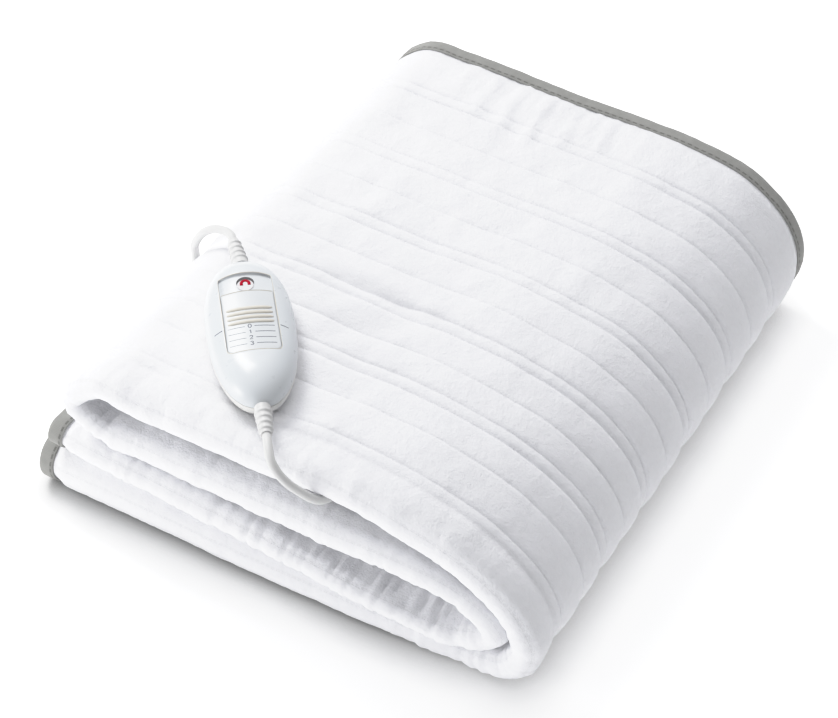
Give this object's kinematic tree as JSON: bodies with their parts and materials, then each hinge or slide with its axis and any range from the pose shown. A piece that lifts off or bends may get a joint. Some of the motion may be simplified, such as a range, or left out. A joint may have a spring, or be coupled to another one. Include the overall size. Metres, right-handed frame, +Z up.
{
  "type": "electric underblanket",
  "caption": "White fleece electric underblanket, folded into a pile with grey binding, a hand controller lying on top and its leads.",
  "frame": {"origin": "on the floor, under the middle of the box round the folded blanket with its controller and strain reliefs, leads left out", "axes": "+X along the near folded edge towards the big right-hand roll, +Y from the near folded edge to the two bound long edges at the back, +Z up"},
  "size_m": [0.3719, 0.5059, 0.1461],
  "materials": {
    "fleece": "matte, short pile",
    "binding_tape": "matte, woven",
    "shell": "gloss",
    "slide_plastic": "satin",
    "pit": "satin",
    "mark": "satin",
    "lead_pvc": "satin",
    "tie_plastic": "matte",
    "pin_metal": "polished nickel plate"
  },
  "bodies": {
    "pile": {"blanket": "fleece", "binding": "binding_tape", "controller_top": "shell", "controller_base": "shell", "indicator_disc": "pit", "indicator_mark": "mark", "relief_mains": "lead_pvc", "relief_blanket": "lead_pvc", "lead_blanket": "lead_pvc", "lead_mains": "lead_pvc", "lead_plug": "lead_pvc", "lead_coil": "lead_pvc", "coil_tie": "tie_plastic", "plug_body": "lead_pvc", "plug_pin_1": "pin_metal", "plug_pin_2": "pin_metal"},
    "slider": {"slide": "slide_plastic"}
  },
  "joints": [
    {"name": "setting_slide", "type": "slide", "parent": "pile", "child": "slider", "axis": [-0.632, 0.7749, 0], "range_m": [0, 0.015]}
  ]
}
